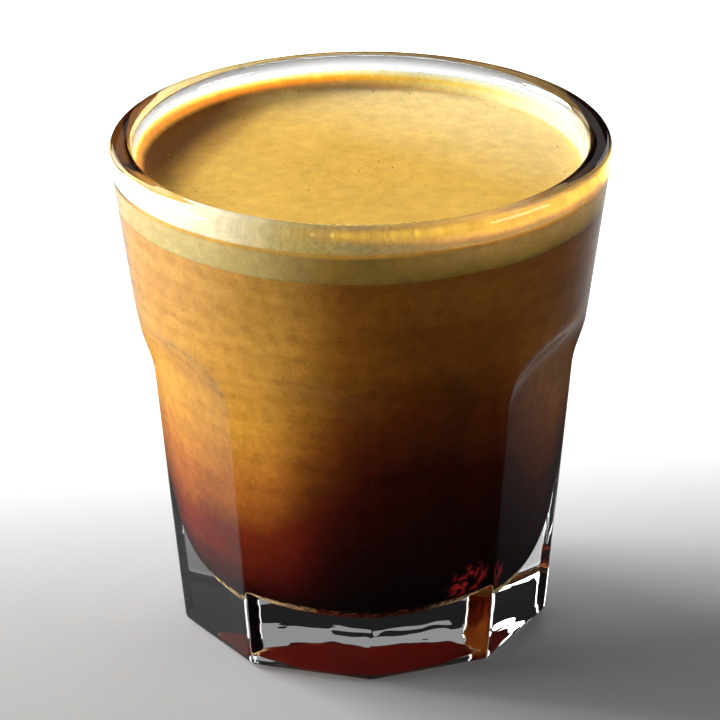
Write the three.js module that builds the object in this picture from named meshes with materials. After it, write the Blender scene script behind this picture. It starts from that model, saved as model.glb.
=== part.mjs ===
// A double espresso under its crema, in a small thick-walled glass tumbler.
// The lower wall of the glass is pressed into flat, arch-topped panels; its rim and inside are round.
// Millimetres, +Z up. The glass stands on z = 0, its axis is Z, and an edge between panels faces -Y.

import * as THREE from 'three';

// Outside of the glass
const HEIGHT = 63;
const RIM_RADIUS = 30.85; // widest, just under the rounded rim
const RIM_WALL = 3.1; // wall thickness at the rim, which is rounded over
const RIM_SQUARENESS = 2.8; // 2 rounds the rim to a half circle, more flattens its top
const UPPER_TAPER = 0.144; // radius lost for each mm down the round upper wall
const PANELS = 9;
const PANEL_FOOT = 21.45; // distance from the axis to a panel, at the table
const PANEL_TAPER = 0.093; // how far a panel leans out for each mm of height
const ARCH_TOP = 40.6; // top of a panel, at its middle
const ARCH_FOOT = 36.6; // top of a panel, at the edge to the next one
const SHOULDER = 6.6; // height over which a panel's arch rises to the round wall
const FOOT_ROUND = 1; // rounding where the panels meet the foot

// Inside and underside of the glass
const INNER_TAPER = 0.2; // radius lost for each mm down the inner wall
const BOWL_TOP = 17; // where the inner wall starts to round into the floor of the bowl
const BOWL_FLOOR = 5; // lowest point of the inside
const BOWL_SQUARENESS = 3.6; // 2 rounds the bowl to a quarter ellipse, more fills out its corner
const RECESS_RADIUS = 17.5; // the hollow under the foot, inside the ring that stands on the table
const RECESS_DEPTH = 0.6;

// The drink
const CREMA_TOP = 59.2; // level of the crema away from the wall
const CREMA_FLOOR = 55.2; // where the crema ends and the coffee begins
const CREMA_CLIMB = 2.2; // how far the crema clings up the wall above its level
const CLIMB_WIDTH = 0.9; // distance from the wall in which the climb falls to about a third
const CLIMB_POINTS = [0.4, 0.9, 1.6, 2.5, 4]; // where the climb's curve has points, in such distances
const GAP = 0.3; // clearance between the glass, the coffee and the crema

// Fineness of the surfaces
const SIDES = PANELS * 8;
const FOOT_STEPS = 3;
const RECESS_STEPS = 5;
const SHOULDER_STEPS = 13;
const RIM_STEPS = 8;
const BOWL_STEPS = 12;

const HALF_PANEL = Math.PI / PANELS;
const RIM_CENTRE = HEIGHT - RIM_WALL / 2;
const INNER_RIM_RADIUS = RIM_RADIUS - RIM_WALL;
const BOWL_DEPTH = BOWL_TOP - BOWL_FLOOR;

// steps + 1 values spread evenly from start to end
function spread(start, end, steps) {
  return Array.from({ length: steps + 1 }, (_, i) => THREE.MathUtils.lerp(start, end, i / steps));
}

function upperWallRadius(z) {
  return RIM_RADIUS - (RIM_CENTRE - z) * UPPER_TAPER;
}

// How far the rounded foot draws the wall in at a height
function footInset(z) {
  const below = Math.max(0, FOOT_ROUND - z);
  return FOOT_ROUND - Math.sqrt(FOOT_ROUND ** 2 - below ** 2);
}

// Outer wall: a flat panel below its arch, the round wall above it, and a smooth shoulder between
function outerRadius(angle, z) {
  const across = THREE.MathUtils.euclideanModulo(angle, 2 * HALF_PANEL) - HALF_PANEL;
  const panel = (PANEL_FOOT + z * PANEL_TAPER) / Math.cos(across);
  const rise = Math.sqrt(Math.max(0, 1 - (across / HALF_PANEL) ** 2));
  const arch = THREE.MathUtils.lerp(ARCH_FOOT, ARCH_TOP, rise);
  const blend = THREE.MathUtils.smoothstep(z, arch - SHOULDER / 2, arch + SHOULDER / 2);
  return THREE.MathUtils.lerp(panel, upperWallRadius(z), blend) - footInset(z);
}

// Straight part of the inner wall
function innerWallRadius(z) {
  return INNER_RIM_RADIUS - (RIM_CENTRE - z) * INNER_TAPER;
}

// Point at an angle on a squarish circle of radius 1, which is a true circle at a squareness of 2
function squarishCircle(angle, squareness) {
  const [across, up] = [Math.cos(angle), Math.sin(angle)];
  return new THREE.Vector2(
    Math.sign(across) * Math.abs(across) ** (2 / squareness),
    Math.sign(up) * Math.abs(up) ** (2 / squareness),
  );
}

// Inside of the glass from the floor of the bowl up to a height, moved inwards by a clearance.
// The bowl is the straight wall's line shrunk by a quarter of a squarish circle.
function insideOutline(top, clearance) {
  const bowl = spread(-Math.PI / 2, 0, BOWL_STEPS).map((angle) => {
    const bend = squarishCircle(angle, BOWL_SQUARENESS);
    const z = BOWL_TOP + BOWL_DEPTH * bend.y;
    return new THREE.Vector2((innerWallRadius(z) - clearance) * bend.x, z - clearance * bend.y);
  });
  bowl[0].x = 0;
  return [...bowl, new THREE.Vector2(innerWallRadius(top) - clearance, top)];
}

function glassGeometry() {
  const recess = spread(0, RECESS_RADIUS, RECESS_STEPS).map(
    (radius) => new THREE.Vector2(radius, RECESS_DEPTH * (1 - (radius / RECESS_RADIUS) ** 2)),
  );
  const foot = spread(-Math.PI / 2, 0, FOOT_STEPS).map((turn) => FOOT_ROUND * (1 + Math.sin(turn)));
  const shoulder = spread(ARCH_FOOT - SHOULDER / 2, ARCH_TOP + SHOULDER / 2, SHOULDER_STEPS);
  const wallHeights = [...foot, ...shoulder, RIM_CENTRE];
  const wall = wallHeights.map((z) => new THREE.Vector2(upperWallRadius(z), z));
  const rim = spread(0, Math.PI, RIM_STEPS).slice(1).map(
    (angle) => squarishCircle(angle, RIM_SQUARENESS)
      .multiplyScalar(RIM_WALL / 2)
      .add(new THREE.Vector2(RIM_RADIUS - RIM_WALL / 2, RIM_CENTRE)),
  );
  const inside = insideOutline(RIM_CENTRE, 0).reverse().slice(1);
  const outline = [...recess, ...wall, ...rim, ...inside];

  const geometry = new THREE.LatheGeometry(outline, SIDES);
  const position = geometry.getAttribute('position');
  for (let side = 0; side <= SIDES; side++) {
    const angle = (2 * Math.PI * side) / SIDES;
    wallHeights.forEach((z, level) => {
      const vertex = side * outline.length + recess.length + level;
      const radius = outerRadius(angle, z);
      position.setXYZ(vertex, radius * Math.sin(angle), z, radius * Math.cos(angle));
    });
  }
  geometry.computeVertexNormals();
  return geometry;
}

function espressoGeometry() {
  const top = CREMA_FLOOR - GAP / 2;
  return new THREE.LatheGeometry([...insideOutline(top, GAP), new THREE.Vector2(0, top)], SIDES);
}

// The crema's upper face, flat in the middle and clinging up the wall as an exponential curve
function cremaGeometry() {
  const floor = CREMA_FLOOR + GAP / 2;
  const contact = CREMA_TOP + CREMA_CLIMB;
  const edge = innerWallRadius(contact) - GAP;
  const climb = CLIMB_POINTS.map((widths) => new THREE.Vector2(
    edge - widths * CLIMB_WIDTH,
    CREMA_TOP + CREMA_CLIMB * Math.exp(-widths),
  ));
  return new THREE.LatheGeometry([
    new THREE.Vector2(0, floor),
    new THREE.Vector2(innerWallRadius(floor) - GAP, floor),
    new THREE.Vector2(edge, contact),
    ...climb,
    new THREE.Vector2(0, CREMA_TOP),
  ], SIDES);
}

const glassMaterial = new THREE.MeshStandardMaterial({
  color: 0xf2f6f6, roughness: 0.04, metalness: 0, transparent: true, opacity: 0.3,
});
const espressoMaterial = new THREE.MeshStandardMaterial({ color: 0x5a3212, roughness: 0.3, metalness: 0 });
const cremaMaterial = new THREE.MeshStandardMaterial({ color: 0xd9b06a, roughness: 0.6, metalness: 0 });

function namedMesh(name, geometry, material) {
  const mesh = new THREE.Mesh(geometry, material);
  mesh.name = name;
  return mesh;
}

// The outlines are turned about Y, so the whole drink is tipped up to stand along Z
const drink = new THREE.Group();
drink.rotation.x = Math.PI / 2;
drink.add(
  namedMesh('glass', glassGeometry(), glassMaterial),
  namedMesh('espresso', espressoGeometry(), espressoMaterial),
  namedMesh('crema', cremaGeometry(), cremaMaterial),
);

export default drink;
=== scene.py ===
# %% [markdown]
# # A double espresso in a pressed glass
# A small thick tumbler, coffee that fades from caramel to almost black, and a lid of golden crema.
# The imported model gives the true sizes. It is loaded first and never changed: three pieces made here take
# the place of its three parts, and loose bubbles are added, so this lesson is about surfaces, not fitting.

# %% Load the frame
import math

import bpy
import numpy as np
from mathutils import Matrix, Vector


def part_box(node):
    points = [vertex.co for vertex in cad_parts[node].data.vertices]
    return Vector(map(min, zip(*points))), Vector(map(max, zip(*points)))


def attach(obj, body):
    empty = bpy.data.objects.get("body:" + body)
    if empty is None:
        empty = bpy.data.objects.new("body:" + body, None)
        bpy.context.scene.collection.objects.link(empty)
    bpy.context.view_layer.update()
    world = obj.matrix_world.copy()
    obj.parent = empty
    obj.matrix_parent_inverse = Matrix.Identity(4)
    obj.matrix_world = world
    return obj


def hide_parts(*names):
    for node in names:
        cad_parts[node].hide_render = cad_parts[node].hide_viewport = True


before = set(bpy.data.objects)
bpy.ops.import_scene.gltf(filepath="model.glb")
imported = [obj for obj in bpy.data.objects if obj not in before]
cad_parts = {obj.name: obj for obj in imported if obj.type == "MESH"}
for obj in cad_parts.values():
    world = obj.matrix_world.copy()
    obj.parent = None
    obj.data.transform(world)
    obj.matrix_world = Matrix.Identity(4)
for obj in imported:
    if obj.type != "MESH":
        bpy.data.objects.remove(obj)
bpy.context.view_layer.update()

MM = 0.001
glass_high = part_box("glass")[1]
crema_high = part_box("crema")[1]
print("nodes", sorted(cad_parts), "height in mm", round(glass_high[2] / MM, 2))

# %% [markdown]
# ## Sizes of the glass
# A pressed tumbler is designed from a handful of numbers: how high, how wide, how steep, how many panels.
# Height and rim come from the frame. The others repeat the model's own dimensions, because a box can't
# tell them. Keeping them together here means that every surface below is a formula of the same numbers.

# %% Driving dimensions
HEIGHT = glass_high[2]
RIM_RADIUS = glass_high[0]
RIM_WALL = 3.1 * MM
RIM_SQUARENESS = 2.8
UPPER_TAPER = 0.144
PANELS = 9
PANEL_FOOT = 21.45 * MM
PANEL_TAPER = 0.093
ARCH_TOP = 40.6 * MM
ARCH_FOOT = 36.6 * MM
SHOULDER = 6.6 * MM
FOOT_ROUND = 1.0 * MM
INNER_TAPER = 0.2
BOWL_TOP = 17.0 * MM
BOWL_FLOOR = 5.0 * MM
BOWL_SQUARENESS = 3.6
RECESS_RADIUS = 17.5 * MM
RECESS_DEPTH = 0.6 * MM
CREMA_LEVEL = 59.2 * MM
CREMA_FLOOR = 55.2 * MM

HALF_PANEL = math.pi / PANELS
RIM_CENTRE = HEIGHT - RIM_WALL / 2
INNER_RIM = RIM_RADIUS - RIM_WALL
CREMA_CONTACT = crema_high[2]
print("rim diameter in mm", round(2 * RIM_RADIUS / MM, 1), "crema clings to", round(CREMA_CONTACT / MM, 1))

# %% [markdown]
# ## Rings into a closed mesh
# Glass, coffee and crema are all round things, so one helper serves them: it takes a grid of points, one
# ring for each level, and joins neighbours with quads. Blender's Spin or Screw tools could sweep an outline,
# but they can't press panels into it. Arrays can, because each point's radius may depend on its angle.

# %% Ring helpers
def ring_points(angle, radius, height):
    """Points at an angle from the front (-Y), turning towards +X: x = r sin a, y = -r cos a, z = h."""
    angle, radius, height = np.broadcast_arrays(angle, radius, height)
    return np.stack([radius * np.sin(angle), -radius * np.cos(angle), height], axis=-1)


def mesh_from_faces(name, points, quads, triangles):
    """Fills a mesh from whole arrays: points (n, 3), then corner numbers of quads and triangles."""
    mesh = bpy.data.meshes.new(name)
    corners = np.concatenate([quads.ravel(), triangles.ravel()]).astype(np.int32)
    starts = np.concatenate([
        4 * np.arange(len(quads)),
        4 * len(quads) + 3 * np.arange(len(triangles)),
    ]).astype(np.int32)
    mesh.vertices.add(len(points))
    mesh.vertices.foreach_set("co", points.astype(np.float32).ravel())
    mesh.loops.add(len(corners))
    mesh.loops.foreach_set("vertex_index", corners)
    mesh.polygons.add(len(starts))
    mesh.polygons.foreach_set("loop_start", starts)
    mesh.polygons.foreach_set("use_smooth", np.ones(len(starts), dtype=bool))
    mesh.update(calc_edges=True)
    mesh.validate()
    piece = bpy.data.objects.new(name, mesh)
    bpy.context.collection.objects.link(piece)
    print(name, "has", len(quads) * 2 + len(triangles), "triangles")
    return piece


def ring_faces(levels, sides):
    """Corner numbers of the quads between rings, and of the fans that close both ends.

    Each point makes a quad with the next point round its ring and with the ring above. The two poles are
    numbered after all ring points. Listed upwards, the rings' faces point outwards.
    """
    here = np.arange(levels * sides).reshape(levels, sides)
    after = np.roll(here, -1, axis=1)
    quads = np.stack([here[:-1], after[:-1], after[1:], here[1:]], axis=-1).reshape(-1, 4)
    first = np.full(sides, levels * sides)
    fans = np.concatenate([
        np.stack([after[0], here[0], first], axis=-1),
        np.stack([here[-1], after[-1], first + 1], axis=-1),
    ])
    return quads, fans


def ring_mesh(name, rings, first_pole, last_pole):
    """Joins rings of points, shape (levels, sides, 3), into one closed surface with a pole at each end."""
    points = np.concatenate([rings.reshape(-1, 3), [first_pole, last_pole]])
    return mesh_from_faces(name, points, *ring_faces(*rings.shape[:2]))


# %% [markdown]
# ## The tumbler
# Real panels are pressed by a mould: flat below an arch, then a soft shoulder up to the round wall. Cutting
# boxes from a cone with booleans would leave hard arches, so the wall's radius is written as a formula that
# blends a flat plane into a cone. The edges between panels are eased a little, as fire polishing does,
# and a faint wave of a few hundredths of a millimetre keeps reflections from looking machined.

# %% Outer wall
EDGE_EASE = math.radians(0.5)
WAVE = 0.025 * MM
WAVE_FULL_AT = 8 * MM
# Turns round the glass, radians for each metre of height, and phase
WAVE_SINES = ((5, 110, 0.6), (8, -170, 2.1))


def smoothstep(start, end, value):
    """0 up to start, 1 past end and 3t^2 - 2t^3 between; the start may also be the larger one."""
    t = np.clip((value - start) / (end - start), 0, 1)
    return t * t * (3 - 2 * t)


def upper_wall(height):
    """The round wall is a cone: the rim's radius less a fixed share of the way down."""
    return RIM_RADIUS - (RIM_CENTRE - height) * UPPER_TAPER


def foot_inset(height):
    """A quarter circle of radius FOOT_ROUND rolls the wall under at the foot."""
    below = np.maximum(0, FOOT_ROUND - height)
    return FOOT_ROUND - np.sqrt(FOOT_ROUND**2 - below**2)


def pressed_wave(angle, height):
    """A sum of two slow sines round and up the wall, zero at the foot."""
    sway = sum(np.sin(turns * angle + rise * height + phase) for turns, rise, phase in WAVE_SINES)
    return WAVE * sway * smoothstep(0, WAVE_FULL_AT, height)


def outer_wall(angle, height):
    """Radius of the outside: plane distance / cos(angle from the panel's middle) below the arch, cone above.

    The arch is half an ellipse across the panel, and a smoothstep as tall as SHOULDER blends the two.
    """
    from_edge = np.mod(angle + HALF_PANEL, 2 * HALF_PANEL) - HALF_PANEL
    across = HALF_PANEL - np.sqrt(from_edge**2 + EDGE_EASE**2)
    panel = (PANEL_FOOT + height * PANEL_TAPER) / np.cos(across)
    rise = np.sqrt(np.clip(1 - (across / HALF_PANEL) ** 2, 0, 1))
    arch = ARCH_FOOT + (ARCH_TOP - ARCH_FOOT) * rise
    blend = smoothstep(arch - SHOULDER / 2, arch + SHOULDER / 2, height)
    wall = panel + (upper_wall(height) - panel) * blend
    return wall - foot_inset(height) + pressed_wave(angle, height)


# %% Angles that crowd towards the panels' edges
STEPS_PER_PANEL = 36
CROWDING = 0.75
step = np.linspace(-1, 1, STEPS_PER_PANEL, endpoint=False)
within = HALF_PANEL * (step + CROWDING * np.sin(math.pi * step) / math.pi)
middles = HALF_PANEL * (2 * np.arange(PANELS) + 1)
panel_angles = (middles[:, None] + within[None, :]).ravel()
finest_step = float(np.degrees(np.diff(within).min()))
print("angles", len(panel_angles), "finest step in degrees", round(finest_step, 3))

# %% Inside of the glass
BOWL_DEPTH = BOWL_TOP - BOWL_FLOOR


def inner_wall(height):
    """The straight inner wall: the inner rim's radius less a fixed share of the way down."""
    return INNER_RIM - (RIM_CENTRE - height) * INNER_TAPER


def squarish_circle(turn, squareness):
    """Points of a unit circle with cosine and sine raised to 2 / squareness, their signs kept."""
    across, up = np.cos(turn), np.sin(turn)
    power = 2 / squareness
    return np.sign(across) * np.abs(across) ** power, np.sign(up) * np.abs(up) ** power


def bowl_outline(steps):
    """Radius and height up the bowl: the straight wall shrunk by a squarish quarter circle."""
    across, up = squarish_circle(np.linspace(-math.pi / 2, 0, steps + 1)[1:], BOWL_SQUARENESS)
    height = BOWL_TOP + BOWL_DEPTH * up
    return inner_wall(height) * across, height


# %% Levels of the tumbler
HOLLOW_SHARES = np.concatenate([np.linspace(0.08, 0.94, 12), [0.98, 1.0]])
STANDING_RING = RECESS_RADIUS + np.array([0.3, 1.5]) * MM
FOOT_STEPS = 9
PANEL_STEPS = 18
SHOULDER_STEPS = 64
UPPER_STEPS = 24
RIM_STEPS = 26
INSIDE_STEPS = 26
TUMBLER_BOWL_STEPS = 32

shoulder_low = ARCH_FOOT - SHOULDER / 2
shoulder_high = ARCH_TOP + SHOULDER / 2
wall_levels = np.concatenate([
    FOOT_ROUND * (1 - np.cos(np.linspace(0, math.pi / 2, FOOT_STEPS))),
    np.linspace(FOOT_ROUND, shoulder_low, PANEL_STEPS)[1:-1],
    np.linspace(shoulder_low, shoulder_high, SHOULDER_STEPS),
    np.linspace(shoulder_high, RIM_CENTRE, UPPER_STEPS)[1:],
])
print("levels up the outer wall", len(wall_levels))


# %% Tumbler piece
def tumbler_rings():
    """From the hollow under the foot, out, up the panels, over the rounded rim and down to the bowl."""
    hollow_radius = RECESS_RADIUS * HOLLOW_SHARES
    hollow_height = RECESS_DEPTH * (1 - (hollow_radius / RECESS_RADIUS) ** 2)
    rim_across, rim_up = squarish_circle(np.linspace(0, math.pi, RIM_STEPS)[1:], RIM_SQUARENESS)
    rim_radius = RIM_RADIUS - RIM_WALL / 2 * (1 - rim_across)
    rim_height = RIM_CENTRE + RIM_WALL / 2 * rim_up
    wall_down = np.linspace(RIM_CENTRE, BOWL_TOP, INSIDE_STEPS)[1:]
    bowl_radius, bowl_height = bowl_outline(TUMBLER_BOWL_STEPS)
    inside_radius = np.concatenate([inner_wall(wall_down), bowl_radius[::-1][1:]])
    inside_height = np.concatenate([wall_down, bowl_height[::-1][1:]])
    angle = panel_angles[None, :]
    return np.concatenate([
        ring_points(angle, hollow_radius[:, None], hollow_height[:, None]),
        ring_points(angle, STANDING_RING[:, None], 0.0),
        ring_points(angle, outer_wall(angle, wall_levels[:, None]), wall_levels[:, None]),
        ring_points(angle, rim_radius[:, None], rim_height[:, None]),
        ring_points(angle, inside_radius[:, None], inside_height[:, None]),
    ])


tumbler = ring_mesh("tumbler", tumbler_rings(), (0, 0, RECESS_DEPTH), (0, 0, BOWL_FLOOR))

# %% [markdown]
# ## The coffee
# Glass and liquid touch, with no air between them. If the coffee stopped at the inner wall, the two faces
# would fight; if it stopped short, a bright gap would show all round. So it reaches a little way into
# the wall, where only its own surface is seen.

# %% Coffee piece
INTO_WALL = 0.15 * MM
COFFEE_SIDES = 240
COFFEE_BOWL_STEPS = 40
COFFEE_WALL_STEPS = 60
COFFEE_TOP = CREMA_FLOOR + 0.8 * MM
coffee_angles = np.linspace(0, 2 * math.pi, COFFEE_SIDES, endpoint=False)


def coffee_rings():
    """The bowl and the straight wall, both moved out by INTO_WALL, up to just inside the crema."""
    radius, height = bowl_outline(COFFEE_BOWL_STEPS)
    wall_height = np.linspace(BOWL_TOP, COFFEE_TOP, COFFEE_WALL_STEPS)[1:]
    radius = np.concatenate([radius, inner_wall(wall_height)]) + INTO_WALL
    height = np.concatenate([height, wall_height])
    return ring_points(coffee_angles[None, :], radius[:, None], height[:, None])


coffee = ring_mesh("coffee", coffee_rings(), (0, 0, BOWL_FLOOR - INTO_WALL), (0, 0, COFFEE_TOP))

# %% [markdown]
# ## The crema
# Crema is a foam so fine that it looks like cream. It lies nearly flat, and where it has settled it leaves a
# film on the wall that ends in a ragged lip. The film has to touch the glass: over a gap of air the wall
# would mirror instead of showing it. Sculpting could fray the lip by hand, but sums of waves with seeded
# numbers give the same foam on each run.

# %% Uneven foam
FOAM_SEED = 7
rng = np.random.default_rng(FOAM_SEED)


def drift(points_x, points_y, shortest, longest, waves):
    """Sum of cosines with random directions, lengths and phases, scaled to about -1 to 1."""
    heading = rng.uniform(0, 2 * math.pi, waves)
    length = rng.uniform(shortest, longest, waves)
    phase = rng.uniform(0, 2 * math.pi, waves)
    along_wave = points_x[..., None] * np.cos(heading) + points_y[..., None] * np.sin(heading)
    return np.cos(2 * math.pi * along_wave / length + phase).sum(axis=-1) / math.sqrt(2 * waves)


def ragged(angle, slowest, fastest, waves):
    """Sum of sines with whole numbers of turns round the glass, scaled to about -1 to 1."""
    turns = rng.integers(slowest, fastest, waves)
    phase = rng.uniform(0, 2 * math.pi, waves)
    return np.sin(angle[..., None] * turns + phase).sum(axis=-1) / math.sqrt(2 * waves)


# %% Lip and floor of the crema
CREMA_SIDES = 600
LIP_SWAY = 0.06 * MM
LIP_FRAY = 0.12 * MM
FLOOR_SWAY = 0.15 * MM
SIDE_DROP = 0.3 * MM
# Degrees from the front, either way round
SIDES_BEGIN = (42, 62)
SIDES_END = (115, 95)
crema_angles = np.linspace(0, 2 * math.pi, CREMA_SIDES, endpoint=False)
from_front = np.degrees(np.abs(np.mod(crema_angles + math.pi, 2 * math.pi) - math.pi))
at_sides = smoothstep(*SIDES_BEGIN, from_front) * smoothstep(*SIDES_END, from_front)
lip_sway = LIP_SWAY * ragged(crema_angles, slowest=2, fastest=9, waves=6)
lip_fray = LIP_FRAY * ragged(crema_angles, slowest=40, fastest=170, waves=20) * (1 - at_sides)
lip_height = CREMA_CONTACT - LIP_FRAY - SIDE_DROP * at_sides + (lip_sway + lip_fray)
floor_height = CREMA_FLOOR + FLOOR_SWAY * ragged(crema_angles, slowest=2, fastest=12, waves=8)
print("lip between", round(lip_height.min() / MM, 2), "and", round(lip_height.max() / MM, 2), "mm")

# %% Top of the crema
CLIMB_NARROW = 0.05 * MM
CLIMB_WIDE = 1.2 * MM
WIDEST_AT = math.radians(-105)
FOAM_RELIEF = 0.015 * MM


def climb_width(angle):
    """Width of the lip's curve: narrow, and wide where the foam has piled up, as a cosine's cube."""
    piled = 0.5 + 0.5 * np.cos(angle - WIDEST_AT)
    return CLIMB_NARROW + (CLIMB_WIDE - CLIMB_NARROW) * piled**3


def crema_surface(angle, inward, lip):
    """Height at a distance inward from the wall: the level, an exponential climb to the lip, and relief."""
    radius = inner_wall(CREMA_LEVEL) - inward
    points_x, points_y = radius * np.sin(angle), -radius * np.cos(angle)
    relief = drift(points_x, points_y, shortest=3 * MM, longest=14 * MM, waves=24)
    width = climb_width(angle)
    settle = 1 - np.exp(-inward / (2 * width))
    return CREMA_LEVEL + (lip - CREMA_LEVEL) * np.exp(-inward / width) + FOAM_RELIEF * relief * settle


# %% Crema piece
CREMA_SKIN = INTO_WALL + 0.03 * MM
FILM_SKIN = 0.03 * MM
SKIN_CHANGE = 0.6 * MM
SIDE_STEPS = 40
NEAR_WALL = 4 * MM
NEAR_STEPS = 41
FAR_STEPS = 52
UNDER_SHARES = np.array([0.3, 0.97])


def crema_rings():
    """Underside, the side against the glass, then the top from the lip inwards."""
    angle = crema_angles[None, :]
    side = np.linspace(0, 1, SIDE_STEPS)[:, None]
    side_height = floor_height + (lip_height - floor_height) * side
    thinned = smoothstep(CREMA_LEVEL - SKIN_CHANGE, CREMA_LEVEL, side_height)
    side_reach = CREMA_SKIN + (FILM_SKIN - CREMA_SKIN) * thinned
    inward = np.concatenate([
        NEAR_WALL * np.linspace(0, 1, NEAR_STEPS)[1:] ** 2,
        np.linspace(NEAR_WALL, inner_wall(CREMA_LEVEL), FAR_STEPS)[1:-1],
    ])[:, None]
    top_height = crema_surface(angle, inward, lip_height)
    lean = np.clip(top_height - CREMA_LEVEL, 0, None) * INNER_TAPER
    return np.concatenate([
        ring_points(angle, UNDER_SHARES[:, None] * inner_wall(CREMA_FLOOR), CREMA_FLOOR),
        ring_points(angle, inner_wall(side_height) + side_reach, side_height),
        ring_points(angle, inner_wall(CREMA_LEVEL) - inward + lean, top_height),
    ])


crema_grid = crema_rings()
crema_middle = crema_grid[-1, :, 2].mean()
crema_foam = ring_mesh("crema_foam", crema_grid, (0, 0, CREMA_FLOOR), (0, 0, crema_middle))

# %% [markdown]
# ## Bubbles that have not burst
# A few bubbles are large enough to see: a loose raft where the pour ended, and a sparse row along the wall.
# Instances would need a collection and a system of their own, so one small sphere is copied by arrays:
# its points are scaled and moved for every bubble, and its corner numbers are shifted by whole spheres.

# %% Where the bubbles float
RAFT_MIDDLE = (-1.5 * MM, -2.0 * MM)
RAFT_SPREAD = (4.5 * MM, 3.5 * MM)
RAFT_BUBBLES = 90
WALL_BUBBLES = 70
# Millimetres from the wall
WALL_ROW = (0.9, 3.5)
SMALLEST = 0.05 * MM
LARGEST = 0.17 * MM
MOSTLY_SMALL = 3
ELBOW_ROOM = 1.1


def bubble_places():
    """Places x, y and radii, with every bubble dropped that would touch an earlier one."""
    raft = rng.normal(RAFT_MIDDLE, RAFT_SPREAD, (RAFT_BUBBLES, 2))
    turn = rng.uniform(0, 2 * math.pi, WALL_BUBBLES)
    from_axis = inner_wall(CREMA_LEVEL) - rng.uniform(*WALL_ROW, WALL_BUBBLES) * MM
    edge = np.stack([from_axis * np.sin(turn), -from_axis * np.cos(turn)], axis=-1)
    place = np.concatenate([raft, edge])
    radius = SMALLEST + (LARGEST - SMALLEST) * rng.random(len(place)) ** MOSTLY_SMALL
    apart = np.linalg.norm(place[:, None] - place[None, :], axis=-1)
    touching = apart < ELBOW_ROOM * (radius[:, None] + radius[None, :])
    free = ~np.tril(touching, -1).any(axis=1)
    return place[free], radius[free]


# %% Bubbles piece
BUBBLE_LEVELS = 6
BUBBLE_SIDES = 12
BUBBLE_SQUASH = 0.7


def bubbles_piece():
    """Squashed spheres that sit half in the foam: unit points x radius + place, one copy for each bubble."""
    place, radius = bubble_places()
    turn = np.linspace(-math.pi / 2, math.pi / 2, BUBBLE_LEVELS + 2)[1:-1, None]
    around = np.linspace(0, 2 * math.pi, BUBBLE_SIDES, endpoint=False)[None, :]
    rings = ring_points(around, np.cos(turn), np.sin(turn)).reshape(-1, 3)
    sphere = np.concatenate([rings, [[0, 0, -1], [0, 0, 1]]]) * [1, 1, BUBBLE_SQUASH]
    angle = np.arctan2(place[:, 0], -place[:, 1])
    inward = inner_wall(CREMA_LEVEL) - np.linalg.norm(place, axis=1)
    height = CREMA_LEVEL + (CREMA_CONTACT - CREMA_LEVEL) * np.exp(-inward / climb_width(angle))
    centres = np.concatenate([place, height[:, None]], axis=1)
    points = (sphere[None] * radius[:, None, None] + centres[:, None]).reshape(-1, 3)
    shift = len(sphere) * np.arange(len(radius))[:, None, None]
    quads, fans = ring_faces(BUBBLE_LEVELS, BUBBLE_SIDES)
    all_quads = (quads + shift).reshape(-1, 4)
    all_fans = (fans + shift).reshape(-1, 3)
    print("bubbles", len(radius))
    return mesh_from_faces("crema_bubbles", points, all_quads, all_fans)


crema_bubbles = bubbles_piece()

# %% [markdown]
# ## Masks from position
# Each finish below changes from place to place: redder low down, paler at one side. Painting that by hand
# would need UV maps, so masks are worked out from Object coordinates instead, which stay on the piece. A few
# helpers add the nodes: a distance along a heading or from a point, a fade between two values, a blend. In
# the ranges below, the first value is where an effect begins and the second where it is full.

# %% Node helpers
UP = (0, 0, 1)
RIGHT = (1, 0, 0)
BACK = (0, 1, 0)


def set_inputs(node, values):
    """Sets a node's input sockets from a dictionary of names and values."""
    for name, value in values.items():
        node.inputs[name].default_value = value


def add_node(tree, kind, inputs=None, **settings):
    """A new shader node with its properties set by name, and its input sockets from a dictionary."""
    node = tree.nodes.new(kind)
    for name, value in settings.items():
        setattr(node, name, value)
    set_inputs(node, inputs or {})
    return node


def object_place(tree):
    """Object coordinates, in metres from the middle of the foot."""
    return add_node(tree, "ShaderNodeTexCoord").outputs["Object"]


# %% Where a point lies
def along(tree, place, heading):
    """Distance along a heading: the dot product of a place with it."""
    node = add_node(tree, "ShaderNodeVectorMath", {1: heading}, operation="DOT_PRODUCT")
    tree.links.new(place, node.inputs[0])
    return node.outputs["Value"]


def distance_from(tree, place, point):
    """Distance of a place from a fixed point."""
    node = add_node(tree, "ShaderNodeVectorMath", {1: point}, operation="DISTANCE")
    tree.links.new(place, node.inputs[0])
    return node.outputs["Value"]


def noise(tree, place, scale, detail, distortion=0.0):
    """Cloudy noise from 0 to 1, with about so many cells to a metre."""
    inputs = {"Scale": scale, "Detail": detail, "Distortion": distortion}
    node = add_node(tree, "ShaderNodeTexNoise", inputs)
    tree.links.new(place, node.inputs["Vector"])
    return node.outputs["Fac"]


# %% Fades and blends
def faded(tree, value, start, end, most=1.0):
    """0 where the value is at start, then in a straight line to most at end."""
    node = add_node(tree, "ShaderNodeMapRange", {"From Min": start, "From Max": end, "To Max": most})
    tree.links.new(value, node.inputs["Value"])
    return node.outputs["Result"]


def combined(tree, operation, first, *others):
    """Values put through one Math operation, from left to right."""
    for other in others:
        node = add_node(tree, "ShaderNodeMath", operation=operation)
        tree.links.new(first, node.inputs[0])
        tree.links.new(other, node.inputs[1])
        first = node.outputs[0]
    return first


def times(tree, *values):
    """Product of values, such as of masks that all have to hold."""
    return combined(tree, "MULTIPLY", *values)


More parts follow.
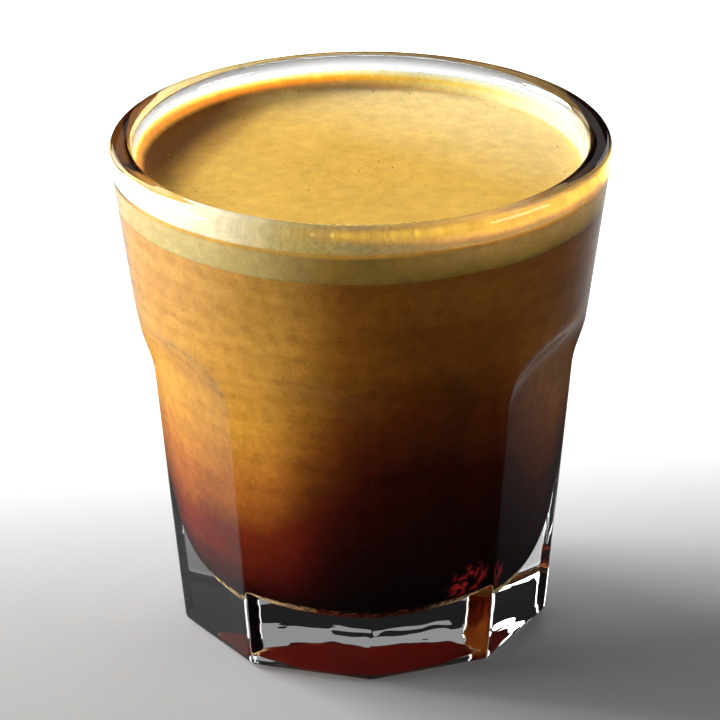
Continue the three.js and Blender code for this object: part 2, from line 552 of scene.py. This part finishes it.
def ramp(tree, factor, stops):
    """Colour read from a ramp of (position, linear colour) pairs."""
    node = add_node(tree, "ShaderNodeValToRGB")
    elements = node.color_ramp.elements
    while len(elements) < len(stops):
        elements.new(0.5)
    for element, (position, colour) in zip(elements, stops):
        element.position = position
        element.color = (*colour, 1)
    tree.links.new(factor, node.inputs["Fac"])
    return node.outputs["Color"]


def mixed(tree, factor, colour, other, blend="MIX"):
    """A colour blended with a fixed other one by a factor."""
    node = add_node(tree, "ShaderNodeMix", {"B": (*other, 1)}, data_type="RGBA", blend_type=blend)
    tree.links.new(factor, node.inputs["Factor"])
    tree.links.new(colour, node.inputs["A"])
    return node.outputs["Result"]


def tinted(tree, factor, colour, tint):
    """A colour multiplied by a fixed tint, as far as the factor says."""
    return mixed(tree, factor, colour, tint, "MULTIPLY")


# %% [markdown]
# ## Shared foam grain
# Both layers are full of bubbles too small to model. One node group makes their speckle from two sizes of
# noise. It puts out a shade to multiply into a colour and a height for a bump, and each material gives it
# its own size and strength.

# %% Foam grain group
COARSE_SHARE = 0.23


def foam_grain_group():
    """Shade = 1 + Amount x (fine noise + coarse noise - 1); Height is the fine noise itself."""
    group = bpy.data.node_groups.new("foam grain", "ShaderNodeTree")
    for name, kind, way in (
        ("Vector", "NodeSocketVector", "INPUT"),
        ("Grains per metre", "NodeSocketFloat", "INPUT"),
        ("Amount", "NodeSocketFloat", "INPUT"),
        ("Shade", "NodeSocketFloat", "OUTPUT"),
        ("Height", "NodeSocketFloat", "OUTPUT"),
    ):
        group.interface.new_socket(name, in_out=way, socket_type=kind)
    taken = group.nodes.new("NodeGroupInput")
    given = group.nodes.new("NodeGroupOutput")
    fine = add_node(group, "ShaderNodeTexNoise", {"Detail": 3.0, "Roughness": 0.6})
    coarse_scale = add_node(group, "ShaderNodeMath", {1: COARSE_SHARE}, operation="MULTIPLY")
    coarse = add_node(group, "ShaderNodeTexNoise", {"Detail": 2.0, "Roughness": 0.5})
    both = combined(group, "ADD", fine.outputs["Fac"], coarse.outputs["Fac"])
    centred = add_node(group, "ShaderNodeMath", {1: 1.0}, operation="SUBTRACT")
    shade = add_node(group, "ShaderNodeMath", {2: 1.0}, operation="MULTIPLY_ADD")
    link = group.links.new
    link(taken.outputs["Vector"], fine.inputs["Vector"])
    link(taken.outputs["Vector"], coarse.inputs["Vector"])
    link(taken.outputs["Grains per metre"], fine.inputs["Scale"])
    link(taken.outputs["Grains per metre"], coarse_scale.inputs[0])
    link(coarse_scale.outputs[0], coarse.inputs["Scale"])
    link(both, centred.inputs[0])
    link(centred.outputs[0], shade.inputs[0])
    link(taken.outputs["Amount"], shade.inputs[1])
    link(shade.outputs[0], given.inputs["Shade"])
    link(fine.outputs["Fac"], given.inputs["Height"])
    return group


foam_grain = foam_grain_group()
print("group", foam_grain.name, "with", len(foam_grain.nodes), "nodes")


# %% Material helpers
def new_material(name):
    """A material, its node tree and its Principled shader."""
    material = bpy.data.materials.new(name)
    material.use_nodes = True
    return material, material.node_tree, material.node_tree.nodes["Principled BSDF"]


def add_grain(tree, place, grains, amount):
    """The foam grain group with its own size and strength."""
    grain = add_node(tree, "ShaderNodeGroup", node_tree=foam_grain)
    set_inputs(grain, {"Grains per metre": grains, "Amount": amount})
    tree.links.new(place, grain.inputs["Vector"])
    return grain


def shaded(tree, colour, shade):
    """Colour times a grey shade."""
    node = add_node(tree, "ShaderNodeVectorMath", operation="SCALE")
    tree.links.new(colour, node.inputs[0])
    tree.links.new(shade, node.inputs["Scale"])
    return node.outputs[0]


def dress(piece, material):
    """Gives a piece its finish."""
    piece.data.materials.append(material)
    print(piece.name, "wears", material.name, "with", len(material.node_tree.nodes), "nodes")


# %% [markdown]
# ## Clear glass
# Thick glass is told by what it bends, so its shader is plain: full transmission, hardly a tint, IOR 1.5.
# Only the unevenness left by the mould is added, as a bump that is faint on the wall and stronger in the
# thick foot, where it breaks reflections into streaks.

# %% Glass finish
RIPPLE_DEPTH = 0.2 * MM
RIPPLE_FADE = {"From Min": 9 * MM, "From Max": 3 * MM, "To Min": 0.05, "To Max": 0.6}


def glass_finish():
    """Clear and smooth, with a bump a few millimetres long whose strength fades with height."""
    material, tree, shader = new_material("clear_pressed_glass")
    set_inputs(shader, {
        "Base Color": (0.985, 0.995, 0.992, 1),
        "Roughness": 0.0,
        "IOR": 1.5,
        "Transmission Weight": 1.0,
        "Specular Tint": (0.35, 0.35, 0.35, 1),
    })
    place = object_place(tree)
    strength = add_node(tree, "ShaderNodeMapRange", RIPPLE_FADE)
    bump = add_node(tree, "ShaderNodeBump", {"Distance": RIPPLE_DEPTH})
    tree.links.new(along(tree, place, UP), strength.inputs["Value"])
    tree.links.new(strength.outputs["Result"], bump.inputs["Strength"])
    tree.links.new(noise(tree, place, scale=160.0, detail=1.0), bump.inputs["Height"])
    tree.links.new(bump.outputs["Normal"], shader.inputs["Normal"])
    return material


dress(tumbler, glass_finish())

# %% [markdown]
# ## Coffee that settles
# Just poured, the upper coffee is clouded by millions of bubbles and looks like caramel; they rise, so the
# bottom clears first and turns a deep red black. A ramp over height gives that. Slow noise bends it so that
# the clouds drift. Painted light at both sides moves the ramp towards caramel there: on the left where the
# lamps fall, on the right as a glow at the thin edge. A noise stretched flat draws the thin streaks that
# hang in the middle.

# %% Coffee by height
COFFEE_RANGE = (8 * MM, 66 * MM)
COFFEE_TONES = (
    (0.12, (0.010, 0.0002, 0.0003)),
    (0.25, (0.022, 0.0010, 0.0007)),
    (0.39, (0.06, 0.007, 0.0018)),
    (0.53, (0.19, 0.062, 0.009)),
    (0.68, (0.31, 0.145, 0.018)),
    (0.83, (0.32, 0.16, 0.025)),
    (1.0, (0.27, 0.14, 0.025)),
)
CLOUD_DRIFT = 7 * MM
# Painted light: these lifts move the ramp towards caramel at the lit left and at the glowing right edge
LEFT_PAINTED_LIFT = (1 * MM, -13 * MM, 11 * MM)
RIGHT_PAINTED_GLOW = (15 * MM, 22 * MM, 14 * MM)
STREAK_STRETCH = (0.25, 0.25, 3.0)
STREAK_NOISE = (0.6, 0.3)
STREAK_TINT = (0.85, 0.82, 0.8)


def coffee_by_height(tree, place):
    """Ramp over height + clouds x CLOUD_DRIFT + painted light at both sides, tinted by streaks."""
    across = along(tree, place, RIGHT)
    bent = add_node(tree, "ShaderNodeMath", {1: CLOUD_DRIFT}, operation="MULTIPLY_ADD")
    tree.links.new(noise(tree, place, scale=80.0, detail=2.0), bent.inputs[0])
    tree.links.new(along(tree, place, UP), bent.inputs[2])
    painted_lift = combined(tree, "ADD", faded(tree, across, *LEFT_PAINTED_LIFT), faded(tree, across, *RIGHT_PAINTED_GLOW))
    level = combined(tree, "ADD", bent.outputs[0], painted_lift)
    colour = ramp(tree, faded(tree, level, *COFFEE_RANGE), COFFEE_TONES)
    flat = add_node(tree, "ShaderNodeMapping", {"Scale": STREAK_STRETCH})
    tree.links.new(place, flat.inputs["Vector"])
    streaks = noise(tree, flat.outputs["Vector"], scale=200.0, detail=3.0)
    return tinted(tree, faded(tree, streaks, *STREAK_NOISE), colour, STREAK_TINT)


# %% [markdown]
# ## Painted light and shade on the sides
# The coffee is painted paler on the side that the light reaches, and whiter high up at the far left, and
# painted darker across the rest and in the middle. Its back is painted darker still, and that shows in front
# too: the rim guides sight down the wall to it, which draws the rim's dark lines. Lamps alone could do some
# of this, but they would also change the glass, so tints do it. Low in the bowl it turns darker as well.

# %% Coffee from side to side
# Painted shade: darker away from the light, at the back and in the middle; painted light: paler high at the
# far left
AWAY_FROM_LIGHT = (-10 * MM, -3 * MM)
AWAY_PAINTED_SHADE = (0.58, 0.40, 0.34)
COFFEE_BACK = (-1 * MM, 11 * MM)
BACK_PAINTED_SHADE = (0.18, 0.12, 0.1)
MIDDLE_LEFT = (-3 * MM, 5 * MM)
MIDDLE_RIGHT = (21 * MM, 14 * MM)
MIDDLE_TOP = (52 * MM, 46 * MM)
MIDDLE_PAINTED_SHADE = (0.7, 0.7, 0.66)
PALE_LIT_SIDE = (-13 * MM, -22 * MM)
PALE_LIT_HEIGHT = (40 * MM, 52 * MM)
PAINTED_LIT_TINT = (1.35, 1.4, 2.0)
BOWL_SHADE = (BOWL_FLOOR + 8 * MM, BOWL_FLOOR + 3 * MM)
BOWL_TINT = (0.4, 0.25, 0.2)


def coffee_sides(tree, place, colour):
    """Painted shade away from the light, at the back and in the middle, painted light at the far left, and a
    darker bowl.
    """
    height = along(tree, place, UP)
    across = along(tree, place, RIGHT)
    middle = times(
        tree,
        faded(tree, across, *MIDDLE_LEFT),
        faded(tree, height, *MIDDLE_TOP),
        faded(tree, across, *MIDDLE_RIGHT),
    )
    painted_pale_left = times(tree, faded(tree, across, *PALE_LIT_SIDE), faded(tree, height, *PALE_LIT_HEIGHT))
    colour = tinted(tree, faded(tree, across, *AWAY_FROM_LIGHT), colour, AWAY_PAINTED_SHADE)
    colour = tinted(tree, faded(tree, along(tree, place, BACK), *COFFEE_BACK), colour, BACK_PAINTED_SHADE)
    colour = tinted(tree, middle, colour, MIDDLE_PAINTED_SHADE)
    colour = tinted(tree, painted_pale_left, colour, PAINTED_LIT_TINT)
    return tinted(tree, faded(tree, height, *BOWL_SHADE), colour, BOWL_TINT)


# %% [markdown]
# ## Bottom of the coffee
# Low down the coffee is thin enough for light to come through red, and fine grounds lie as a broken line
# round the bowl. Towards both ends the band is painted pale, as a glint of light that the thick foot bends
# onto it, and red glints are painted round one point low on the right. Loose flakes could be modelled, but
# they are far smaller than a pixel, so noise breaks up a narrow band of height instead.

# %% Coffee at the bottom
UNDERSIDE = (BOWL_FLOOR + 2.5 * MM, BOWL_FLOOR + 0.5 * MM)
UNDERSIDE_RED = (0.07, 0.005, 0.0025)
GROUNDS_AND_GLINT_LOW = (BOWL_FLOOR + 0.9 * MM, BOWL_FLOOR + 1.5 * MM)
GROUNDS_AND_GLINT_HIGH = (BOWL_FLOOR + 2.6 * MM, BOWL_FLOOR + 1.9 * MM)
BROWN_FLAKES = (0.5, 0.65)
GROUNDS_BROWN = (0.16, 0.045, 0.015)
# Painted glint: the band's ends turn pale as if bent light fell there
GLINT_ENDS = (5 * MM, 11 * MM)
GLINT_FLAKES = (0.4, 0.55)
PAINTED_GLINT_PALE = (0.75, 0.52, 0.25)
# Painted red glint round one point low on the right
GLINT_MIDDLE = (13 * MM, -14 * MM, 8 * MM)
GLINT_REACH = (5 * MM, 1 * MM)
GLINT_FLAMES = (0.48, 0.62)
GLINT_RED = (0.6, 0.03, 0.03)


def coffee_bottom(tree, place, colour):
    """Red underside, brown grounds in a band with painted pale glints at both ends, and painted red glints
    round one point.
    """
    height = along(tree, place, UP)
    grounds_and_glint = times(tree, faded(tree, height, *GROUNDS_AND_GLINT_LOW), faded(tree, height, *GROUNDS_AND_GLINT_HIGH))
    flakes = noise(tree, place, scale=1200.0, detail=2.0)
    off_middle = add_node(tree, "ShaderNodeMath", operation="ABSOLUTE")
    tree.links.new(along(tree, place, RIGHT), off_middle.inputs[0])
    glint_ends = times(tree, grounds_and_glint, faded(tree, off_middle.outputs[0], *GLINT_ENDS))
    flames = noise(tree, place, scale=500.0, detail=2.0, distortion=1.5)
    near_glint = faded(tree, distance_from(tree, place, GLINT_MIDDLE), *GLINT_REACH)
    colour = mixed(tree, faded(tree, height, *UNDERSIDE), colour, UNDERSIDE_RED)
    colour = mixed(tree, times(tree, grounds_and_glint, faded(tree, flakes, *BROWN_FLAKES)), colour, GROUNDS_BROWN)
    colour = mixed(tree, times(tree, glint_ends, faded(tree, flakes, *GLINT_FLAKES)), colour, PAINTED_GLINT_PALE)
    return mixed(tree, times(tree, near_glint, faded(tree, flames, *GLINT_FLAMES)), colour, GLINT_RED)


# %% Coffee finish
def coffee_finish():
    """Tones by height, painted light and shade by side, and tones at the bottom, times grain; matt, because
    the glass gives the gloss.
    """
    material, tree, shader = new_material("clouded_coffee")
    place = object_place(tree)
    colour = coffee_bottom(tree, place, coffee_sides(tree, place, coffee_by_height(tree, place)))
    grain = add_grain(tree, place, grains=2800.0, amount=0.6)
    tree.links.new(shaded(tree, colour, grain.outputs["Shade"]), shader.inputs["Base Color"])
    set_inputs(shader, {"Roughness": 0.5, "Specular IOR Level": 0.0})
    return material


dress(coffee, coffee_finish())

# %% [markdown]
# ## Golden foam
# Seen from above, crema drifts slowly between gold and tan, with a darker swirl where the pour ended and
# pinholes left by burst bubbles. A painted shadow browns it along the left and back-left wall, and painted
# light makes it creamier towards the right and paler gold at the far back right. Noise gives the drift, and a
# Voronoi texture the pinholes: it has a cell for each, and only a few of the cells are chosen.

# %% Crema from above
GOLDS = ((0.35, (0.40, 0.235, 0.040)), (0.65, (0.44, 0.265, 0.052)))
POUR_END = (1.5 * MM, -3.5 * MM, CREMA_LEVEL)
POUR_REACH = (12 * MM, 4 * MM)
POUR_PATCHES = (0.4, 0.6)
POUR_TINT = (0.98, 0.92, 0.75)
PINHOLE_CELLS = 650.0
PINHOLE_EDGE = (0.2, 0.1)
PINHOLE_CHOICE = (0.75, 0.8)
PINHOLE_TINT = (0.78, 0.7, 0.55)
# Painted shadow along the left and back-left wall
SHADOW_HEADING = (-0.92, 0.38, 0)
SHADOW_RANGE = (17 * MM, 23 * MM)
PAINTED_SHADOW_TINT = (0.3, 0.16, 0.06)
# Painted light: creamier towards the right and back, and paler gold at the far back right
PAINTED_LIGHT_HEADING = (0.75, 0.8, 0)
PAINTED_LIGHT_RANGE = (5 * MM, 30 * MM, 0.8)
PAINTED_LIGHT_CREAM = (0.50, 0.40, 0.19)
FAR_BACK = (22.5 * MM, 25.5 * MM)
FAR_RIGHT = (-6 * MM, 5 * MM)
FAR_PAINTED_LIGHT = (0.68, 0.5, 0.21)


def pinholes(tree, place):
    """Dots at the middles of Voronoi cells whose random red value is high."""
    cells = add_node(tree, "ShaderNodeTexVoronoi", {"Scale": PINHOLE_CELLS})
    chosen = add_node(tree, "ShaderNodeSeparateColor")
    tree.links.new(place, cells.inputs["Vector"])
    tree.links.new(cells.outputs["Color"], chosen.inputs["Color"])
    dots = faded(tree, cells.outputs["Distance"], *PINHOLE_EDGE)
    return times(tree, dots, faded(tree, chosen.outputs["Red"], *PINHOLE_CHOICE))


def crema_top(tree, place):
    """Golds by slow noise, tinted by the swirl and the pinholes, then a painted shadow, painted cream and a
    painted far gold by heading.
    """
    patches = noise(tree, place, scale=70.0, detail=3.0)
    poured = faded(tree, distance_from(tree, place, POUR_END), *POUR_REACH)
    swirl = times(tree, poured, faded(tree, patches, *POUR_PATCHES))
    painted_shadow = faded(tree, along(tree, place, SHADOW_HEADING), *SHADOW_RANGE)
    painted_cream_mask = faded(tree, along(tree, place, PAINTED_LIGHT_HEADING), *PAINTED_LIGHT_RANGE)
    far_back = faded(tree, along(tree, place, BACK), *FAR_BACK)
    far_light_mask = times(tree, far_back, faded(tree, along(tree, place, RIGHT), *FAR_RIGHT))
    colour = tinted(tree, swirl, ramp(tree, patches, GOLDS), POUR_TINT)
    colour = tinted(tree, pinholes(tree, place), colour, PINHOLE_TINT)
    colour = tinted(tree, painted_shadow, colour, PAINTED_SHADOW_TINT)
    colour = mixed(tree, painted_cream_mask, colour, PAINTED_LIGHT_CREAM)
    return mixed(tree, far_light_mask, colour, FAR_PAINTED_LIGHT)


# %% [markdown]
# ## Film on the wall
# Where the foam has drained, a film thinner than paper is left on the glass. Seen through the wall it is
# pale, and it glows where light falls through it from inside. It is part of the same mesh as the foam, so a
# mask finds it: points that lie past the inner wall and above the crema's level.

# %% Film masks
PAST_WALL = (inner_wall(0) + 0.005 * MM, inner_wall(0) + 0.02 * MM)
FILM_FOOT = (CREMA_LEVEL - 0.1 * MM, CREMA_LEVEL + 0.2 * MM)
FILM_FRONT = (-2 * MM, -8 * MM)


def wall_film(tree, place):
    """1 on the film: radius - height x taper is past the inner wall's, and height is past the film's foot."""
    height = along(tree, place, UP)
    sideways = add_node(tree, "ShaderNodeVectorMath", {1: (1, 1, 0)}, operation="MULTIPLY")
    reach = add_node(tree, "ShaderNodeVectorMath", operation="LENGTH")
    beyond = add_node(tree, "ShaderNodeMath", {1: -INNER_TAPER}, operation="MULTIPLY_ADD")
    tree.links.new(place, sideways.inputs[0])
    tree.links.new(sideways.outputs[0], reach.inputs[0])
    tree.links.new(height, beyond.inputs[0])
    tree.links.new(reach.outputs["Value"], beyond.inputs[2])
    return times(tree, faded(tree, beyond.outputs[0], *PAST_WALL), faded(tree, height, *FILM_FOOT))


def film_at_front(tree, place, film):
    """The film's front part, which is seen through the wall."""
    return times(tree, film, faded(tree, along(tree, place, BACK), *FILM_FRONT))


# %% Painted glow in the lip at the back and left
LIP_HEADING = (-0.8, 0.6, 0)
LIP_RANGE = (-14 * MM, 0.0)
LIP_RISE = (CREMA_LEVEL + 0.7 * MM, CREMA_LEVEL + 1.1 * MM)
# Painted glow: light shining through the lip at the back and left
LIP_PAINTED_GLOW = (0.75, 0.36, 0.05)
LIP_THIN = (CREMA_LEVEL + 1.3 * MM, CREMA_CONTACT)
LIP_PAINTED_PALE_GLOW = (0.72, 0.56, 0.27)


def crema_lip(tree, place, colour):
    """Painted glow of light through the lip: orange where it rises and pale where it thins out, towards the
    back and left.
    """
    height = along(tree, place, UP)
    backlit = faded(tree, along(tree, place, LIP_HEADING), *LIP_RANGE)
    colour = mixed(tree, times(tree, faded(tree, height, *LIP_RISE), backlit), colour, LIP_PAINTED_GLOW)
    return mixed(tree, times(tree, faded(tree, height, *LIP_THIN), backlit), colour, LIP_PAINTED_PALE_GLOW)


# %% Film from the outside
FILM_GOLD = (0.44, 0.36, 0.14)
FILM_RIGHT = (6 * MM, 20 * MM)
FILM_RIGHT_TINT = (0.85, 0.83, 0.85)
MOTTLE_NOISE = (0.55, 0.35)
MOTTLE_TINT = (0.85, 0.8, 0.7)
# Painted light: paler film low on the right and nearly white at the left
FILM_LOW = (CREMA_LEVEL + 1.7 * MM, CREMA_LEVEL + 1.2 * MM)
FILM_LOW_SIDE = (0.0, 10 * MM)
FILM_LOW_PAINTED_LIGHT = (0.6, 0.475, 0.21)
FILM_LEFT = (-9 * MM, -21 * MM)
FILM_PAINTED_WHITE = (0.72, 0.68, 0.52)


def crema_film(tree, place, colour, film, front_film):
    """A pale gold that is mottled and a little darker on the right, painted lighter low on the right and
    painted nearly white at the left, where the lamps fall on it.
    """
    height = along(tree, place, UP)
    across = along(tree, place, RIGHT)
    on_right = times(tree, front_film, faded(tree, across, *FILM_RIGHT))
    specks = noise(tree, place, scale=1500.0, detail=2.0)
    mottle = times(tree, front_film, faded(tree, specks, *MOTTLE_NOISE))
    low = times(tree, front_film, faded(tree, height, *FILM_LOW), faded(tree, across, *FILM_LOW_SIDE))
    painted_light_left = times(tree, film, faded(tree, across, *FILM_LEFT))
    colour = mixed(tree, front_film, colour, FILM_GOLD)
    colour = tinted(tree, on_right, colour, FILM_RIGHT_TINT)
    colour = tinted(tree, mottle, colour, MOTTLE_TINT)
    colour = mixed(tree, low, colour, FILM_LOW_PAINTED_LIGHT)
    return mixed(tree, painted_light_left, colour, FILM_PAINTED_WHITE)


# %% Crema below its level
BELOW_LEVEL = (CREMA_LEVEL - 0.3 * MM, CREMA_LEVEL - 0.7 * MM)
BELOW_TAN = (0.25, 0.155, 0.032)
# Painted light: the side is paler at the left and warmer at the upper right
BELOW_LEFT = (-4 * MM, -18 * MM)
BELOW_PAINTED_PALE = (0.40, 0.33, 0.15)
BELOW_RIGHT = (0.0, 14 * MM)
BELOW_RIGHT_HEIGHT = (CREMA_FLOOR + 0.3 * MM, CREMA_LEVEL - 1.2 * MM)
BELOW_PAINTED_WARM = (0.48, 0.29, 0.08)


def crema_below(tree, place, colour):
    """Tan on the side against the glass, with painted light making it paler at the left and warmer at the
    upper right.
    """
    height = along(tree, place, UP)
    across = along(tree, place, RIGHT)
    below = faded(tree, height, *BELOW_LEVEL)
    painted_light_left = times(tree, below, faded(tree, across, *BELOW_LEFT))
    on_right = times(tree, faded(tree, across, *BELOW_RIGHT), faded(tree, height, *BELOW_RIGHT_HEIGHT))
    colour = mixed(tree, below, colour, BELOW_TAN)
    colour = mixed(tree, painted_light_left, colour, BELOW_PAINTED_PALE)
    return mixed(tree, times(tree, below, on_right), colour, BELOW_PAINTED_WARM)


# %% [markdown]
# ## Light inside the foam
# Light sinks into foam and comes out again a little way off, which is why a thin lip glows. Subsurface
# scattering gives that. Its depth is about a millimetre in the foam and far less in the front film, because
# a depth much larger than the film's thickness would wash its colour out.

# %% Crema finish
FOAM_DEPTH = 1.2 * MM
FILM_DEPTH = 0.17 * MM
FOAM_SPREAD = (1.0, 0.85, 0.5)
FOAM_BUMP = {"Strength": 0.12, "Distance": 0.1 * MM}


def crema_finish():
    """Top, lip, film and side in turn, times grain, with scattering that is shallow in the front film."""
    material, tree, shader = new_material("golden_crema")
    link = tree.links.new
    place = object_place(tree)
    film = wall_film(tree, place)
    front_film = film_at_front(tree, place, film)
    colour = crema_lip(tree, place, crema_top(tree, place))
    colour = crema_film(tree, place, colour, film, front_film)
    colour = crema_below(tree, place, colour)
    grain = add_grain(tree, place, grains=2600.0, amount=0.5)
    bump = add_node(tree, "ShaderNodeBump", FOAM_BUMP)
    depth = add_node(tree, "ShaderNodeMapRange", {"To Min": FOAM_DEPTH, "To Max": FILM_DEPTH})
    link(shaded(tree, colour, grain.outputs["Shade"]), shader.inputs["Base Color"])
    link(grain.outputs["Height"], bump.inputs["Height"])
    link(bump.outputs["Normal"], shader.inputs["Normal"])
    link(front_film, depth.inputs["Value"])
    link(depth.outputs["Result"], shader.inputs["Subsurface Scale"])
    set_inputs(shader, {
        "Roughness": 0.42,
        "Specular IOR Level": 0.06,
        "Subsurface Weight": 1.0,
        "Subsurface Radius": FOAM_SPREAD,
    })
    return material


dress(crema_foam, crema_finish())


# %% Bubble finish
def bubble_finish():
    """A wet golden skin: smoother and a little darker than the foam."""
    material, _, shader = new_material("bubble_skin")
    set_inputs(shader, {
        "Base Color": (0.33, 0.19, 0.035, 1),
        "Roughness": 0.25,
        "Subsurface Weight": 1.0,
        "Subsurface Radius": FOAM_SPREAD,
        "Subsurface Scale": 0.3 * MM,
    })
    return material


dress(crema_bubbles, bubble_finish())

# %% [markdown]
# ## Floor
# The floor is plain and pale. Glass shows its surroundings, and a pale table mirrored in the panels would
# veil the dark coffee behind them. So the camera sees the pale tone, while reflections and light that
# bounces meet a dark one. A black card laid just out of view would do the same in a studio.

# %% Floor
FLOOR_HALF = 2.0
FLOOR_DROP = 0.2 * MM
FLOOR_SEEN = (0.16, 0.159, 0.157, 1)
FLOOR_MIRRORED = (0.02, 0.02, 0.02, 1)


def floor_finish():
    """Matt, with one tone for the camera's own rays and another for all other rays."""
    material, tree, shader = new_material("pale_floor")
    rays = add_node(tree, "ShaderNodeLightPath")
    tone = add_node(tree, "ShaderNodeMix", {"A": FLOOR_MIRRORED, "B": FLOOR_SEEN}, data_type="RGBA")
    tree.links.new(rays.outputs["Is Camera Ray"], tone.inputs["Factor"])
    tree.links.new(tone.outputs["Result"], shader.inputs["Base Color"])
    set_inputs(shader, {"Roughness": 0.7, "Specular IOR Level": 0.2})
    return material


floor_corners = np.array([[-1, -1, 0], [1, -1, 0], [1, 1, 0], [-1, 1, 0]]) * FLOOR_HALF
floor_quad = np.array([[0, 1, 2, 3]])
floor = mesh_from_faces("floor", floor_corners - [0, 0, FLOOR_DROP], floor_quad, np.empty((0, 3)))
dress(floor, floor_finish())

# %% [markdown]
# ## Light
# The drink is lit from the left by two large soft lamps, one a little behind and above, one level with it.
# Coffee behind glass is reached only by light that the wall bends, so small lamps would leave it noisy. A
# weak fill stands at the right, three faint ones behind draw the edges, and one that faces down behind the
# glass whitens the back of the rim. All else is dark, which leaves dark lines on the rim.

# %% Lamps
LIT_POINT = Vector((0, 0, 0.6 * HEIGHT))
WASH_PLACE = (0, 0.24, 0.25)
WASH_SPREAD = math.radians(75)


def direction(azimuth, elevation):
    """Unit vector at an azimuth from the front (-Y) towards +X and an elevation, both in degrees."""
    a, e = math.radians(azimuth), math.radians(elevation)
    return Vector((math.sin(a) * math.cos(e), -math.cos(a) * math.cos(e), math.sin(e)))


def soft_lamp(name, width, height, power):
    """A rectangular lamp at the origin that faces down."""
    light = bpy.data.lights.new(name, "AREA")
    light.shape = "RECTANGLE"
    light.size = width
    light.size_y = height
    light.energy = power
    lamp = bpy.data.objects.new(name, light)
    bpy.context.collection.objects.link(lamp)
    print("lamp", name, power, "W")
    return lamp


def aimed_lamp(name, azimuth, elevation, distance, width, height, power):
    """A rectangular lamp that faces the glass from a direction."""
    lamp = soft_lamp(name, width, height, power)
    lamp.location = LIT_POINT + direction(azimuth, elevation) * distance
    lamp.rotation_euler = direction(azimuth, elevation).to_track_quat("Z", "Y").to_euler()


aimed_lamp("key_softbox", azimuth=-118, elevation=24, distance=0.7, width=0.4, height=0.26, power=20.5)
aimed_lamp("side_strip", azimuth=-93, elevation=4, distance=0.7, width=0.5, height=0.16, power=31.0)
aimed_lamp("backdrop", azimuth=180, elevation=35, distance=0.8, width=0.5, height=0.36, power=0.15)
aimed_lamp("left_edge", azimuth=-150, elevation=20, distance=0.8, width=0.25, height=0.25, power=0.5)
aimed_lamp("right_edge", azimuth=150, elevation=20, distance=0.8, width=0.25, height=0.25, power=0.25)
aimed_lamp("fill", azimuth=72, elevation=14, distance=0.7, width=0.4, height=0.3, power=5.0)
back_wash = soft_lamp("back_wash", width=0.5, height=0.2, power=12.0)
back_wash.location = WASH_PLACE
back_wash.data.spread = WASH_SPREAD

# %% Darkness round the lamps
WORLD_TONE = (0.012, 0.012, 0.012, 1)
world = bpy.data.worlds.new("dark_studio")
world.use_nodes = True
set_inputs(world.node_tree.nodes["Background"], {"Color": WORLD_TONE})
bpy.context.scene.world = world
bpy.context.scene.view_settings.view_transform = "Standard"
print("world", world.name)

# %% [markdown]
# ## Camera
# The photograph was taken from a little above with a long lens. Distance, lens and roll were fitted to the
# outline of the glass, and the camera aims slightly above the glass's middle to frame it the same way.

# %% Camera
VIEW_AZIMUTH = -1.9
VIEW_ELEVATION = 23.43
VIEW_DISTANCE = 776.5 * MM
VIEW_ROLL = 0.0084
LENS = 312.7
SENSOR = 36.0
CLIP_START = 0.01
PICTURE_SIDE = 720
TARGET = Vector((0, 0, 31 * MM))
TARGET_PIXEL = (362.5, 376.9)

back = direction(VIEW_AZIMUTH, VIEW_ELEVATION)
level = Vector((math.cos(math.radians(VIEW_AZIMUTH)), math.sin(math.radians(VIEW_AZIMUTH)), 0))
right = level * math.cos(VIEW_ROLL) - back.cross(level) * math.sin(VIEW_ROLL)
up = back.cross(right)
metres_per_pixel = VIEW_DISTANCE * SENSOR / LENS / PICTURE_SIDE
off_right = (TARGET_PIXEL[0] - PICTURE_SIDE / 2) * metres_per_pixel
off_down = (TARGET_PIXEL[1] - PICTURE_SIDE / 2) * metres_per_pixel
aim = TARGET - right * off_right + up * off_down
eye = TARGET + back * VIEW_DISTANCE
look_back = (eye - aim).normalized()
look_right = up.cross(look_back).normalized()
look_up = look_back.cross(look_right)

camera_data = bpy.data.cameras.new("camera")
camera_data.lens = LENS
camera_data.sensor_width = SENSOR
camera_data.clip_start = CLIP_START
camera = bpy.data.objects.new("camera", camera_data)
turned = Matrix((look_right, look_up, look_back)).transposed().to_4x4()
camera.matrix_world = Matrix.Translation(eye) @ turned
bpy.context.collection.objects.link(camera)
bpy.context.scene.camera = camera
print("camera at", [round(v, 3) for v in eye])

# %% [markdown]
# ## Attaching the pieces
# Every piece is attached to the root body, and the model's part that it stands for is hidden. The bubbles
# stand for no part, so they are only attached.

# %% Ride and replace
for piece, node, slot in (
    (tumbler, "glass", "glass"),
    (coffee, "espresso", "espresso"),
    (crema_foam, "crema", "crema"),
):
    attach(piece, "root")
    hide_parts(node)

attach(crema_bubbles, "root")
